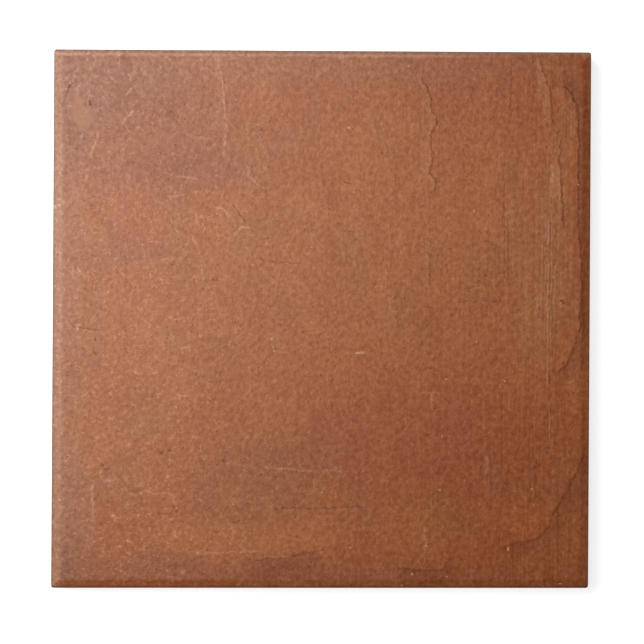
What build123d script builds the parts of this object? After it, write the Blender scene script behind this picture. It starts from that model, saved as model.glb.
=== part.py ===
"""Square terracotta floor tile: a ribbon of clay, extruded, wire-cut to length and eased round its face.

Sizes are in millimetres. The walking face is up (+Z), the ribbon runs along Y, and the origin lies
under the middle of the tile, on the plane that its back rests on.
"""
import math
import os

from build123d import *

# The slab: the die forms the two long sides, and two wire cuts form the ends, one of them askew.
tile_width = 300.0
tile_length = 300.0
tile_thickness = 20.0
cut_skew = 1.7

# The eased rim: a shallow bevel round the face, with its lip and its inner crease rubbed round.
bevel_width = 4.3
bevel_drop = 1.5
lip_radius = 1.2
crease_radius = 5.0

# The upright corners, and the heel that the die takes off both lower long edges.
corner_radius = 1.5
heel_bevel = 1.5

# The keyed back: straight grooves along the ribbon, wider at the mouth than at the root.
groove_pitch = 25.0
groove_mouth = 12.0
groove_root = 9.0
groove_depth = 2.0
root_radius = 0.8
mouth_radius = 0.5
border_land = 12.0

# The origin is midway along the left side, which is the longer one by half the skew. Each cut's
# plane faces out of the tile.
square_end_y = (tile_length + cut_skew / 2) / 2
skewed_end_y = square_end_y - tile_length
skew_angle = math.atan(cut_skew / tile_width)
square_cut = Plane(origin=(0, square_end_y, 0), x_dir=(1, 0, 0), z_dir=(0, 1, 0))
skewed_cut = Plane(
    origin=(0, skewed_end_y, 0),
    x_dir=(math.cos(skew_angle), math.sin(skew_angle), 0),
    z_dir=(math.sin(skew_angle), -math.cos(skew_angle), 0),
)

# As many grooves as fit between the two border lands.
groove_count = 1 + int((tile_width - 2 * border_land - groove_mouth) // groove_pitch)
flank_angle = math.degrees(math.atan2(groove_depth, (groove_mouth - groove_root) / 2))

# The height at which the bevel meets the sides, and how near to it an edge lies to be picked.
lip_height = tile_thickness - bevel_drop
pick_margin = 0.01

# One groove's section, with its root rounded where the die is worn.
with BuildSketch() as groove:
    Trapezoid(groove_mouth, groove_depth, flank_angle, align=(Align.CENTER, Align.MIN))
    fillet(groove.vertices().group_by(Axis.Y)[-1], root_radius)

with BuildPart() as tile:
    # The ribbon's section: a groove at each pitch across the back, and a heel along each side.
    with BuildSketch(Plane.XZ) as section:
        with Locations((0, tile_thickness / 2)):
            Rectangle(tile_width, tile_thickness)
        with GridLocations(groove_pitch, 1, groove_count, 1):
            add(groove.sketch, mode=Mode.SUBTRACT)
        foot = section.vertices().group_by(Axis.Y)[0].sort_by(Axis.X)
        fillet(foot[1:-1], mouth_radius)
        heels = section.vertices().group_by(Axis.Y)[0].sort_by(Axis.X)
        chamfer((heels[0], heels[-1]), heel_bevel)
    extrude(amount=tile_length, both=True)

    # The two wire cuts.
    split(bisect_by=square_cut, keep=Keep.BOTTOM)
    split(bisect_by=skewed_cut, keep=Keep.BOTTOM)

    # The rim: a bevel pressed round the face, then its inner crease and its outer lip rubbed round.
    ribbon_face = tile.faces().sort_by(Axis.Z)[-1]
    chamfer(ribbon_face.edges(), bevel_width, bevel_drop, reference=ribbon_face)
    walking_face = tile.faces().sort_by(Axis.Z)[-1]
    fillet(walking_face.edges(), crease_radius)
    lip = tile.edges().filter_by_position(Axis.Z, lip_height - pick_margin, lip_height + pick_margin)
    fillet(lip, lip_radius)

    # The upright corners are rubbed round.
    with BuildSketch() as outline:
        with BuildLine():
            Polyline(
                (-tile_width / 2, skewed_end_y - cut_skew / 2),
                (tile_width / 2, skewed_end_y + cut_skew / 2),
                (tile_width / 2, square_end_y),
                (-tile_width / 2, square_end_y),
                close=True,
            )
        make_face()
        fillet(outline.vertices(), corner_radius)
    extrude(amount=tile_thickness, mode=Mode.INTERSECT)

tile.part.label = "tile"
os.makedirs("parts", exist_ok=True)
export_step(tile.part, "parts/tile.step")
print("grooves", groove_count, "volume", round(tile.part.volume), "faces", len(tile.faces()))
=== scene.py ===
"""Square terracotta floor tile, seen from above on a white studio floor.

The slab is one closed mesh with the sizes of the CAD source. Its face carries the marks of its making:
folds and edges of clay slip, drags of the die, cracks, scratches, pits and grains of grog, each at its
own place. All lengths are in metres unless a name says otherwise. A place on the face is given in
millimetres across from the left side and down from the square cut, as a rule laid on it would read.
"""

import logging
import math
from dataclasses import asdict, dataclass, field
from enum import Enum
from functools import partial
from typing import Any, Callable, Iterable, Mapping, Optional, Sequence, Union

import bmesh
import bpy
import numpy as np
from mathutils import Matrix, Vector
from mathutils.kdtree import KDTree


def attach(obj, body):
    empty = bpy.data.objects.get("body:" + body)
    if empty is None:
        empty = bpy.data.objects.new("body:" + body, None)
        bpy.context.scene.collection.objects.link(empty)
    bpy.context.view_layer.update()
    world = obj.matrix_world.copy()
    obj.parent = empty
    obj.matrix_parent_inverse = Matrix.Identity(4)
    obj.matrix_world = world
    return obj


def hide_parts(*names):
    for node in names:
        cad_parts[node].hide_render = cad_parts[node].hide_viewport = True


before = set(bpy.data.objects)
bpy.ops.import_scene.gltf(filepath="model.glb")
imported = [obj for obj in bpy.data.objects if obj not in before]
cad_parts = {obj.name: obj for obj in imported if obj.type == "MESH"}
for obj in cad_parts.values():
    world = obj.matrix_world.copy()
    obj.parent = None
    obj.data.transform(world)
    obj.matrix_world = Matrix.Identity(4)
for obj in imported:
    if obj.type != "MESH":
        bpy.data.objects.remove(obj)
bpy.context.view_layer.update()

log = logging.getLogger("floor_tile")

MM = 0.001

Place = tuple[float, float]
Point = tuple[float, float, float]
Net = list[list[Point]]


def linear(red: float, green: float, blue: float) -> tuple[float, float, float, float]:
    """Turn a screen colour, with parts from 0 to 255, into a linear colour with an alpha of 1."""
    parts = [part / 255 for part in (red, green, blue)]
    return (*(p / 12.92 if p <= 0.04045 else ((p + 0.055) / 1.055) ** 2.4 for p in parts), 1.0)


class Tone(Enum):
    """The colours that the clay and its slip have fired to, as linear colours, and those that paint sheen,
    highlight and shade.
    """

    CLAY = linear(160, 88, 41)
    TAN = linear(170, 101, 49)
    ORANGE = linear(178, 92, 36)
    GREY = linear(146, 104, 78)
    PURPLE = linear(136, 74, 44)
    RED = linear(150, 74, 38)
    DARK = linear(92, 38, 14)
    # Painted shade, darkest in cracks and pits and just below slip edges.
    HOLLOW = linear(84, 28, 6)
    # Painted shade on the lip at the right and the foot, which face away from the lamp.
    CHAR = linear(88, 42, 20)
    # Darker brown at the bottom edge and the lower left corner.
    SOOT = linear(104, 62, 38)
    BUFF = linear(168, 107, 67)
    OCHRE = linear(166, 97, 36)
    MAROON = linear(137, 63, 25)
    RUST = linear(157, 76, 26)
    SHADE = linear(128, 84, 62)
    UMBER = linear(134, 73, 36)
    BURNT = linear(144, 56, 4)
    BARE = linear(163, 102, 63)
    # Painted sheen on the rim, pale and grey where it faces the lamp.
    WORN = linear(170, 118, 88)
    # Painted sheen on the lip at the left and the top.
    ASH = linear(145, 106, 84)
    # Pale dust of scratches and streaks, and painted highlight along the raised side of folds and drags.
    DUST = linear(190, 134, 96)
    # Painted highlight on the crease of the top rim.
    CHALK = linear(202, 160, 138)
    GROG = linear(164, 102, 66)
    PALE_GROG = linear(198, 142, 106)


@dataclass(frozen=True)
class TileForm:
    """The sizes of the slab, the same as in the CAD source."""

    width: float = 0.300
    length: float = 0.300
    thickness: float = 0.020
    cut_skew: float = 0.0017
    bevel_width: float = 0.0043
    bevel_drop: float = 0.0015
    lip_radius: float = 0.0012
    crease_radius: float = 0.005
    corner_radius: float = 0.0015
    heel_bevel: float = 0.0015
    groove_pitch: float = 0.025
    groove_mouth: float = 0.012
    groove_root: float = 0.009
    groove_depth: float = 0.002
    groove_count: int = 11
    root_radius: float = 0.0008
    mouth_radius: float = 0.0005
    lip_steps: int = 5
    outer_rim: tuple[float, ...] = (0.00115,)
    inner_rim: tuple[float, ...] = (0.0020, 0.00275, 0.0035, 0.00405, 0.0046, 0.00515, 0.0060, 0.0070)

    @property
    def square_end(self) -> float:
        """Give Y of the square cut."""
        return (self.length + self.cut_skew / 2) / 2

    @property
    def bevel_angle(self) -> float:
        """Give the slope of the bevel in radians."""
        return math.atan2(self.bevel_drop, self.bevel_width)

    def skewed_end(self, x: Any) -> Any:
        """Give Y of the skewed cut at a place across the tile."""
        return self.square_end - self.length + x * self.cut_skew / self.width

    def between_cuts(self, x: Any, share: Any) -> Any:
        """Give Y at a share of the way from the skewed cut to the square one."""
        return self.skewed_end(x) + share * (self.square_end - self.skewed_end(x))

    def on_face(self, place: Place) -> Place:
        """Turn a place read with a rule, in millimetres across and down, into X and Y."""
        return (place[0] * MM - self.width / 2, self.square_end - place[1] * MM)

    def drop(self, inset: np.ndarray) -> np.ndarray:
        """Give how far the rim lies below the face.

        Args:
            inset: Distances in from the nearest side.

        Returns:
            The drop at each distance, over the lip's arc, the bevel and the crease's arc.
        """
        tilt = self.bevel_angle
        lip_centre = self.bevel_drop + self.lip_radius * (1 / math.cos(tilt) - math.tan(tilt))
        lip_end = self.lip_radius * (1 - math.sin(tilt))
        crease_end = (self.bevel_drop - self.crease_radius * (1 - 1 / math.cos(tilt))) / math.tan(tilt)
        crease_start = crease_end - self.crease_radius * math.sin(tilt)
        lip_rise = np.sqrt(np.clip(self.lip_radius**2 - (inset - self.lip_radius) ** 2, 0, None))
        crease_fall = np.sqrt(np.clip(self.crease_radius**2 - (inset - crease_end) ** 2, 0, None))
        zones = [inset < lip_end, inset < crease_start, inset < crease_end]
        bevel = self.bevel_drop - inset * math.tan(tilt)
        return np.select(zones, [lip_centre - lip_rise, bevel, self.crease_radius - crease_fall], 0.0)

    def rim_stations(self) -> list[float]:
        """Lay out the lines of the net along the rim.

        Returns:
            The distances in from a side at which the net has a line, up to the level face.
        """
        turn, steps = math.pi / 2 - self.bevel_angle, self.lip_steps
        lip = [self.lip_radius * (1 - math.cos(turn * step / steps)) for step in range(steps + 1)]
        return [*lip, *self.outer_rim, self.corner_radius, *self.inner_rim]

    def stations(self, whole: float, spacing: float) -> np.ndarray:
        """Give the lines of the net from side to side.

        Args:
            whole: The distance between the two sides.
            spacing: About how far apart the lines are away from the rim.

        Returns:
            Distances from the first side, from 0 to the whole.
        """
        rim = self.rim_stations()
        gaps = round((whole - 2 * rim[-1]) / spacing)
        middle = np.linspace(rim[-1], whole - rim[-1], gaps + 1)
        return np.concatenate([rim[:-1], middle, [whole - inset for inset in reversed(rim[:-1])]])

    def groove_section(self) -> list[Place]:
        """Draw one groove as seen along the ribbon.

        Returns:
            The points of its line, from its left mouth to its right mouth.
        """
        mouth, root, depth = self.groove_mouth / 2, self.groove_root / 2, self.groove_depth
        corners = [(-mouth, 0.0), (-root, depth), (root, depth), (mouth, 0.0)]
        path = [(-2 * mouth, 0.0), *corners, (2 * mouth, 0.0)]
        radii = [self.mouth_radius, self.root_radius, self.root_radius, self.mouth_radius]
        turns = zip(path, corners, path[2:], radii)
        return [point for before, corner, after, radius in turns
                for point in rounded_corner(before, corner, after, radius)]


def rounded_corner(before: Place, corner: Place, after: Place, radius: float, steps: int = 3) -> list[Place]:
    """Round one corner of a flat line.

    Args:
        before: The point before the corner.
        corner: The corner.
        after: The point after the corner.
        radius: The arc's radius.
        steps: How many straight runs stand for the arc.

    Returns:
        The points of the arc from its first tangent point to its last.
    """
    back = (Vector(before) - Vector(corner)).normalized()
    ahead = (Vector(after) - Vector(corner)).normalized()
    half = back.angle(ahead) / 2
    centre = Vector(corner) + (back + ahead).normalized() * (radius / math.sin(half))
    first = (Vector(corner) + back * (radius / math.tan(half)) - centre).normalized()
    last = (Vector(corner) + ahead * (radius / math.tan(half)) - centre).normalized()
    return [tuple(centre + first.slerp(last, step / steps) * radius) for step in range(steps + 1)]


class Shell:
    """Gathers the faces of a closed skin and merges corners that have the same place."""

    def __init__(self) -> None:
        """Start with no faces."""
        self.points: list[Point] = []
        self.faces: list[list[int]] = []
        self.known: dict[Point, int] = {}

    def corner(self, point: Sequence[float]) -> int:
        """Find the corner at a point, and make it where there is none.

        Args:
            point: The place.

        Returns:
            The corner's number.
        """
        key = tuple(round(value * 1e8) for value in point)
        if key not in self.known:
            self.known[key] = len(self.points)
            self.points.append(tuple(point))
        return self.known[key]

    def face(self, *points: Sequence[float]) -> None:
        """Add a face, without the corners that fall on the one before.

        Args:
            points: The face's corners in their order.
        """
        numbers = [self.corner(point) for point in points]
        ring = [number for number, before in zip(numbers, [None, *numbers]) if number != before]
        if ring[0] == ring[-1]:
            ring.pop()
        if len(ring) > 2:
            self.faces.append(ring)

    def mesh(self, name: str) -> bpy.types.Mesh:
        """Make the mesh with its faces turned outwards.

        Args:
            name: The mesh's name.

        Returns:
            The mesh.
        """
        made = bpy.data.meshes.new(name)
        made.from_pydata(self.points, [], self.faces)
        work = bmesh.new()
        work.from_mesh(made)
        bmesh.ops.recalc_face_normals(work, faces=work.faces)
        loose = sum(not edge.is_manifold for edge in work.edges)
        log.info("%s: %d faces, open edges %d", name, len(work.faces), loose)
        work.to_mesh(made)
        work.free()
        return made


class MarkKind(Enum):
    """The kinds of mark on the face, by the name of the attribute that keeps each one's place."""

    FOLD = "fold"
    EDGE = "edge"
    CRACK = "crack"
    DRAG = "drag"
    SCRATCH = "scratch"
    PIT = "pit"


@dataclass(frozen=True)
class Relief:
    """How one kind of mark shapes the clay. The raised side lies right of the way that a path runs."""

    lift: float = 0.0
    soft: float = 0.002
    steep: float = 0.0005
    trench: float = 0.0
    groove: float = 0.0004
    reach: float = 0.006
    taper: float = 0.003
    wobble: float = 0.004
    refine: float = 0.002

    def pressed(self) -> dict[str, float]:
        """Give the sizes that the tree presses the mark with, by the names of its inputs."""
        return {name.title(): size for name, size in asdict(self).items() if name != "refine"}


RELIEFS: dict[MarkKind, Relief] = {
    MarkKind.FOLD: Relief(
        lift=0.00020, soft=0.0020, steep=0.0010, trench=0.00007, groove=0.0006, reach=0.008, refine=0.0024,
    ),
    MarkKind.EDGE: Relief(
        lift=0.00011, soft=0.005, steep=0.0014, trench=0.00002, groove=0.0006, reach=0.014, taper=0.006,
    ),
    MarkKind.CRACK: Relief(trench=0.00010, groove=0.00045, taper=0.002, refine=0.0013),
    MarkKind.DRAG: Relief(
        lift=0.00007, soft=0.0012, steep=0.0007, trench=0.00005, groove=0.0006, reach=0.004, taper=0.012,
        wobble=0.0022, refine=0.0010,
    ),
    MarkKind.SCRATCH: Relief(
        lift=0.00004, soft=0.0006, trench=0.00003, groove=0.00038, taper=0.002, refine=0.0010,
    ),
    MarkKind.PIT: Relief(trench=0.00012, groove=0.00062, taper=0.00001, refine=0.0014),
}


@dataclass(frozen=True)
class Mark:
    """One mark: its kind, its strength and its path over the face in millimetres across and down."""

    kind: MarkKind
    strength: float
    path: tuple[Place, ...]


def mark(kind: MarkKind, strength: float, *path: Place) -> Mark:
    """Give a mark that follows a path. Its raised side, if it has one, lies right of it."""
    return Mark(kind, strength, path)


def pits(strength: float, *places: Place) -> list[Mark]:
    """Give a pit, 0.4 mm long, at each place, which the finish darkens with painted shade."""
    return [mark(MarkKind.PIT, strength, (x - 0.2, y), (x + 0.2, y)) for x, y in places]


fold = partial(mark, MarkKind.FOLD)
edge = partial(mark, MarkKind.EDGE)
crack = partial(mark, MarkKind.CRACK)
drag = partial(mark, MarkKind.DRAG)
scratch = partial(mark, MarkKind.SCRATCH)

MARKS: list[Mark] = [
    fold(1.0, (204, 14), (205.5, 18), (208, 21), (209.5, 24.5), (210, 29), (211.5, 34.5), (213.5, 38),
         (211.5, 44), (210, 49), (210.5, 56), (211.5, 61), (210, 68), (213, 73), (212, 77), (210, 79.5)),
    fold(0.35, (210, 79.5), (209.5, 92), (210.5, 108), (210, 122), (210, 135)),
    fold(0.9, (270.5, 2), (272, 9), (275, 17), (277, 25), (277.5, 32), (277.5, 42)),
    fold(1.1, (282.5, 47), (282.5, 55), (281.5, 60), (282, 64), (283, 72), (283.5, 80), (284, 90),
         (284.5, 98)),
    fold(0.6, (276, 83), (278, 84.5), (279.5, 83.5), (281, 82)),
    drag(1.1, (277, 80), (277, 120), (276.8, 160), (277, 200)),
    drag(0.9, (278.9, 84), (278.6, 130), (278.2, 178)),
    drag(0.8, (275.2, 98), (275.4, 140), (275.2, 172)),
    drag(0.7, (280.4, 96), (280.6, 138), (280.2, 165)),
    drag(0.6, (273.4, 84), (273.6, 118), (273.2, 150)),
    drag(1.4, (277.9, 186), (278.2, 205), (278.3, 226)),
    drag(0.7, (269, 225), (269.2, 245), (269, 262)),
    drag(0.5, (244.5, 228), (244.8, 250)),
    drag(0.6, (206.2, 206), (206.4, 234)),
    drag(0.6, (250.3, 190), (250.4, 212)),
    drag(0.5, (212.4, 232), (212.6, 262)),
    drag(0.6, (271.8, 90), (271.6, 124)),
    drag(0.8, (276.2, 54), (276.0, 66), (276.2, 84)),
    drag(0.7, (203.5, 18), (204, 38), (203.6, 58)),
    drag(0.7, (206.6, 26), (207.0, 50)),
    drag(0.6, (199.6, 20), (199.8, 46)),
    drag(0.5, (196.6, 26), (196.8, 44)),
    edge(1.0, (279.5, 19.5), (283, 19.5), (286, 21), (288.5, 24), (290.5, 28), (291.5, 33), (292.3, 40),
         (292.7, 60), (292.9, 100), (294.0, 112), (294.2, 143), (293.6, 152), (292.3, 158.7),
         (289.3, 168.4), (285.1, 175.4), (279.6, 179)),
    edge(0.8, (296.5, 222), (294.3, 230), (289.5, 239.7), (285.3, 248), (281, 255), (275.5, 266),
         (271.3, 270.4), (261.5, 273.2), (253, 274.6)),
    edge(0.5, (152, 278), (148, 279), (140, 280), (132, 282), (120, 283), (110, 285)),
    edge(0.8, (222.5, 281.5), (220.3, 284.7), (218, 288), (210, 289), (200, 288.5), (191, 288)),
    edge(0.4, (28, 180), (28, 150), (28.5, 126), (34, 120), (50, 117), (67, 115)),
    crack(0.6, (226, 140), (232, 139.5), (240, 139.5), (252, 139.5)),
    crack(0.45, (226, 140), (228, 144), (227, 150)),
    crack(0.6, (251.5, 66), (252, 90), (252.3, 110), (252, 130)),
    crack(0.4, (254, 92), (254.2, 112), (254, 128)),
    crack(0.5, (236, 103), (245, 107.5), (253, 111)),
    crack(0.6, (245, 115), (250, 112)),
    crack(0.6, (13, 17), (9.5, 21), (7, 26), (5.5, 31)),
    crack(0.7, (20, 28), (21, 33)),
    crack(0.7, (101, 86), (104, 91), (107, 95), (109, 98)),
    crack(0.7, (115, 116.5), (126, 118.5), (138, 119)),
    crack(0.6, (161, 72), (168, 76), (172, 80)),
    crack(0.5, (10, 154), (20, 156), (30, 157)),
    crack(0.35, (70, 174), (80, 173.4), (90, 172)),
    crack(0.6, (124, 256), (138, 255.5), (152, 255.5), (162, 255), (178, 254)),
    crack(0.9, (253.2, 274.5), (254.4, 279.5)),
    crack(0.7, (284, 46.5), (285.5, 44.8), (287, 46)),
    crack(1.0, (273, 221), (279, 221.5)),
    crack(0.8, (181.5, 57), (184.5, 57)),
    crack(0.7, (179.5, 272), (182.5, 272)),
    scratch(1.0, (91, 2), (93, 12), (94.5, 20), (95.5, 32), (96, 44), (95, 60)),
    fold(0.35, (92.3, 6), (94.6, 18), (95.9, 30), (96.4, 40)),
    scratch(0.7, (99, 28), (97, 40), (97, 46)),
    scratch(1.4, (26, 45), (24, 50), (22, 56), (20, 61)),
    scratch(1.3, (39.5, 26.5), (44.5, 21.5)),
    scratch(1.3, (38.5, 42.5), (41, 38), (46, 33.5)),
    scratch(0.7, (13.5, 63), (15, 66.5), (26, 66)),
    scratch(1.2, (18, 69.5), (18.6, 74)),
    scratch(0.7, (60, 68), (72, 71), (82, 72)),
    scratch(0.7, (48, 3), (49, 8)),
    scratch(0.8, (56, 84), (61, 86)),
    scratch(0.7, (64, 82), (75, 81)),
    scratch(0.7, (80, 90), (82, 100)),
    scratch(1.3, (90, 87.5), (95, 89), (100, 94.5)),
    scratch(1.2, (102.5, 101), (106, 99.2), (111, 99)),
    scratch(0.6, (99.5, 79), (102, 86), (106.5, 92)),
    scratch(0.6, (95, 76), (93.5, 85)),
    scratch(0.5, (72, 112), (77.5, 105)),
    scratch(0.8, (108, 64), (110, 70), (116, 77)),
    scratch(0.7, (11.5, 120), (11.5, 130)),
    scratch(0.7, (82, 116), (84, 128), (84, 131)),
    scratch(0.8, (60, 117), (69, 117)),
    scratch(1.1, (23, 242), (23.5, 254), (24, 265)),
    scratch(0.45, (23.4, 266), (22.7, 279)),
    scratch(1.3, (28, 234), (28.3, 239.7), (37, 239.7)),
    scratch(0.8, (41, 244), (44, 247.5), (49, 248), (53, 246.5), (57, 248), (62, 247), (70, 248.5)),
    scratch(0.5, (46, 240), (48, 243.5), (51, 242)),
    scratch(0.7, (27, 214), (33, 219)),
    scratch(0.7, (118, 233), (133, 233.6), (148, 235)),
    scratch(0.7, (150, 234.5), (164, 234)),
    scratch(0.6, (172, 234.5), (177, 234)),
    scratch(0.7, (146, 240), (148, 245)),
    scratch(0.7, (81, 281), (94, 280.6), (106, 280), (119, 279.5)),
    scratch(0.5, (115, 283), (135, 282)),
    scratch(1.0, (208.5, 265), (208.5, 280)),
    scratch(0.7, (243, 225), (243, 235)),
    scratch(0.8, (212, 190), (212, 200)),
    scratch(0.6, (205, 190.5), (217, 190.5)),
    scratch(1.4, (102.6, 153), (102.2, 158.5)),
    scratch(1.4, (186, 121.5), (186, 126.5)),
    *pits(1.0, (285, 140), (284, 139), (66.2, 224)),
    *pits(0.6, (28.4, 231.6), (31.2, 234)),
    *pits(0.6, (260, 144), (272, 143), (280, 178), (285, 174), (212, 177), (253.5, 278), (242, 125)),
    *pits(0.45, (213, 147), (223, 147), (235, 131), (273, 183), (251, 232), (251, 235), (234, 269)),
    *pits(0.45, (202, 285), (90, 128), (92, 128), (67, 120), (11.5, 177), (24, 162), (24, 170)),
    *pits(0.4, (105, 154), (112, 179), (185, 169), (180, 130), (166, 101), (150, 181), (163, 40)),
    *pits(0.6, (66, 224), (93, 232), (96, 229), (74, 263), (104, 263), (102, 264)),
    *pits(0.5, (152, 279), (137, 271), (145, 288), (99, 272), (92, 269), (61.5, 225), (70, 257.5)),
]


@dataclass(frozen=True)
class Grain:
    """One grain of grog that shows: millimetres across and down, and its length and breadth there."""

    across: float
    down: float
    long: float = 1.0
    broad: float = 1.0


GRAINS: list[Grain] = [Grain(*values) for values in (
    (172.5, 168.5, 6.6, 1.6), (123, 161, 2.4, 2.4), (123.5, 165.5, 0.9, 1.2), (165, 43, 1.8, 1.4),
    (198, 8.5, 1.4, 1.4), (144, 6, 1.2, 1.2), (120, 64, 1.2, 1.0), (117, 68), (168, 79, 1.2, 1.0),
    (57, 76), (77, 82), (59, 53), (59, 58), (64, 63), (53, 65), (55, 66), (34, 78), (48, 78), (81, 92),
    (83, 95), (70, 71), (96, 44, 1.3, 1.0), (102, 28), (94, 92), (36, 134, 1.3, 1.1), (40.5, 134),
    (29, 130), (18, 130), (19, 133), (14, 112), (22, 167), (73, 111), (124, 168, 1.2, 1.0), (114, 180),
    (122, 194), (8.5, 209), (30, 233), (54, 243, 1.3, 1.0), (45, 275), (37, 274), (235, 89), (226, 147.5),
    (237, 162), (239, 164), (220, 183), (250, 187), (218, 215), (226, 223), (217, 245, 1.4, 1.4),
    (255.2, 277.5, 0.9, 2.4), (221, 293), (209.5, 276), (269.5, 253), (268, 244),
)]


class Part:
    """A node that has been placed, which hands out its outputs as wires."""

    def __init__(self, bench: "Bench", node: bpy.types.Node) -> None:
        """Keep the tree and the node."""
        self.bench = bench
        self.node = node

    def out(self, name: Union[str, int] = 0) -> "Wire":
        """Give one output by its name or number."""
        return Wire(self.bench, socket_of(self.node.outputs, name))


def socket_of(sockets: Iterable[bpy.types.NodeSocket], name: Union[str, int]) -> bpy.types.NodeSocket:
    """Find a socket by its number, or by its name among those in use.

    Args:
        sockets: The node's inputs or outputs.
        name: The name or the number.

    Returns:
        The socket.
    """
    if isinstance(name, int):
        return sockets[name]
    return next(socket for socket in sockets if socket.name == name and socket.enabled)


def arithmetic(operation: str, turned: bool = False) -> Callable[["Wire", "Amount"], "Wire"]:
    """Make an operator that adds a Math node.

    Args:
        operation: The node's operation.
        turned: Whether the other value comes first.

    Returns:
        The operator, as a method of a wire.
    """
    def method(wire: "Wire", other: "Amount") -> "Wire":
        """Add the Math node."""
        return wire.bench.math(operation, *((other, wire) if turned else (wire, other)))

    return method


class Wire:
    """One output of a node tree. Arithmetic on it adds Math nodes."""

    def __init__(self, bench: "Bench", socket: bpy.types.NodeSocket) -> None:
        """Keep the tree and the socket."""
        self.bench = bench
        self.socket = socket

    __add__ = __radd__ = arithmetic("ADD")
    __sub__ = arithmetic("SUBTRACT")
    __rsub__ = arithmetic("SUBTRACT", turned=True)
    __mul__ = __rmul__ = arithmetic("MULTIPLY")
    __truediv__ = arithmetic("DIVIDE")


Amount = Union[float, Wire]


class Bench:
    """Places nodes in one tree."""

    def __init__(self, tree: bpy.types.NodeTree) -> None:
        """Keep the tree."""
        self.tree = tree

    def node(
        self, kind: str, settings: Optional[Mapping[str, Any]] = None,
        inputs: Optional[Mapping[Any, Any]] = None,
    ) -> Part:
        """Place a node.

        Args:
            kind: The node's type.
            settings: Its own settings, which are set first.
            inputs: A value, a wire or a list of wires for each socket, by its name or number.

        Returns:
            The node that was placed.
        """
        node = self.tree.nodes.new(kind)
        for name, value in (settings or {}).items():
            setattr(node, name, value)
        for name, value in (inputs or {}).items():
            socket = socket_of(node.inputs, name)
            wires = [value] if isinstance(value, Wire) else value
            if isinstance(wires, list):
                for wire in wires:
                    self.tree.links.new(wire.socket, socket)
            else:
                socket.default_value = value
        return Part(self, node)

    def math(self, operation: str, *values: Amount) -> Wire:
        """Add a Math node."""
        return self.node("ShaderNodeMath", {"operation": operation}, dict(enumerate(values))).out()

    def vector(self, operation: str, *values: Any, part: Union[str, int] = 0) -> Wire:
        """Add a Vector Math node."""
        return self.node("ShaderNodeVectorMath", {"operation": operation}, dict(enumerate(values))).out(part)

    def scaled(self, value: Any, scale: Amount) -> Wire:
        """Multiply a vector or a colour by a number."""
        return self.node("ShaderNodeVectorMath", {"operation": "SCALE"}, {0: value, "Scale": scale}).out()

    def split(self, value: Wire) -> list[Wire]:
        """Give the three parts of a vector."""
        part = self.node("ShaderNodeSeparateXYZ", {}, {0: value})
        return [part.out(number) for number in range(3)]

    def joined(self, x: Amount, y: Amount, z: Amount) -> Wire:
        """Make a vector of three numbers."""
        return self.node("ShaderNodeCombineXYZ", {}, {0: x, 1: y, 2: z}).out()

    def mixed(self, share: Amount, first: Any, second: Any) -> Wire:
        """Mix two colours, with a share of the second."""
        pair = [part.value if isinstance(part, Tone) else part for part in (first, second)]
        return self.node("ShaderNodeMix", {"data_type": "RGBA"}, {0: share, 6: pair[0], 7: pair[1]}).out(2)

    def ease(self, value: Wire, start: Amount, end: Amount, low: float = 0.0, high: float = 1.0) -> Wire:
        """Go softly from a low level, up to the start, to a high level, from the end on."""
        inputs = {"Value": value, "From Min": start, "From Max": end, "To Min": low, "To Max": high}
        return self.node("ShaderNodeMapRange", {"interpolation_type": "SMOOTHSTEP"}, inputs).out()

    def topmost(self, z: Wire, form: TileForm, deep: float, shallow: float) -> Wire:
        """Give 0 at a depth below the face and 1 at a shallower one, both in millimetres."""
        return self.ease(z, form.thickness - deep * MM, form.thickness - shallow * MM)

    def fade(self, value: Wire, start: Amount, end: Amount) -> Wire:
        """Go softly from 1 down to 0."""
        return self.ease(value, start, end, 1.0, 0.0)

    def band(self, value: Wire, start: Amount, full: Amount, fading: Amount, end: Amount) -> Wire:
        """Give 1 between the full and the fading value, and softly less on both sides."""
        return self.ease(value, start, full) * self.fade(value, fading, end)

    def noise(
        self, place: Wire, size: float, detail: float = 2.0, rough: float = 0.5, shift: float = 0.0,
        part: Union[str, int] = 0,
    ) -> Wire:
        """Add a noise.

        Args:
            place: The coordinates.
            size: The size of its patches in metres.
            detail: How many finer layers it has.
            rough: How strong the finer layers are.
            shift: How far it is moved, so that two noises of one size differ.
            part: The output, which is a number unless the colour is asked for.

        Returns:
            The noise, which is about 0.5.
        """
        moved = self.vector("ADD", place, (shift, shift * 0.7, shift * 1.3)) if shift else place
        inputs = {"Vector": moved, "Scale": 1 / size, "Detail": detail, "Roughness": rough}
        return self.node("ShaderNodeTexNoise", {}, inputs).out(part)

    def swirl(self, place: Wire, size: float, detail: float, rough: float = 0.5, shift: float = 0.0) -> Wire:
        """Give a vector that wanders about zero, each part by up to 0.5."""
        colour = self.noise(place, size, detail, rough, shift, "Color")
        return self.vector("SUBTRACT", colour, (0.5, 0.5, 0.5))

    def specks(self, place: Wire, spacing: float, radius: float, share: float, shift: float) -> Wire:
        """Add soft round spots to the flat of the face.

        Args:
            place: The coordinates.
            spacing: About how far apart the spots could be.
            radius: The radius of the largest spots.
            share: How much of the possible spots there are.
            shift: How far the pattern is moved.

        Returns:
            1 in the middle of a spot and 0 between the spots.
        """
        moved = self.vector("ADD", place, (shift, shift * 0.7, 0.0))
        settings = {"feature": "F1", "voronoi_dimensions": "2D"}
        cells = self.node("ShaderNodeTexVoronoi", settings, {"Vector": moved, "Scale": 1 / spacing})
        chance, girth = self.split(cells.out("Color"))[:2]
        extent = (girth * 0.65 + 0.35) * (radius / spacing)
        spot = self.fade(cells.out("Distance"), extent * 0.35, extent)
        return spot * self.math("GREATER_THAN", chance, 1 - share)

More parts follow.
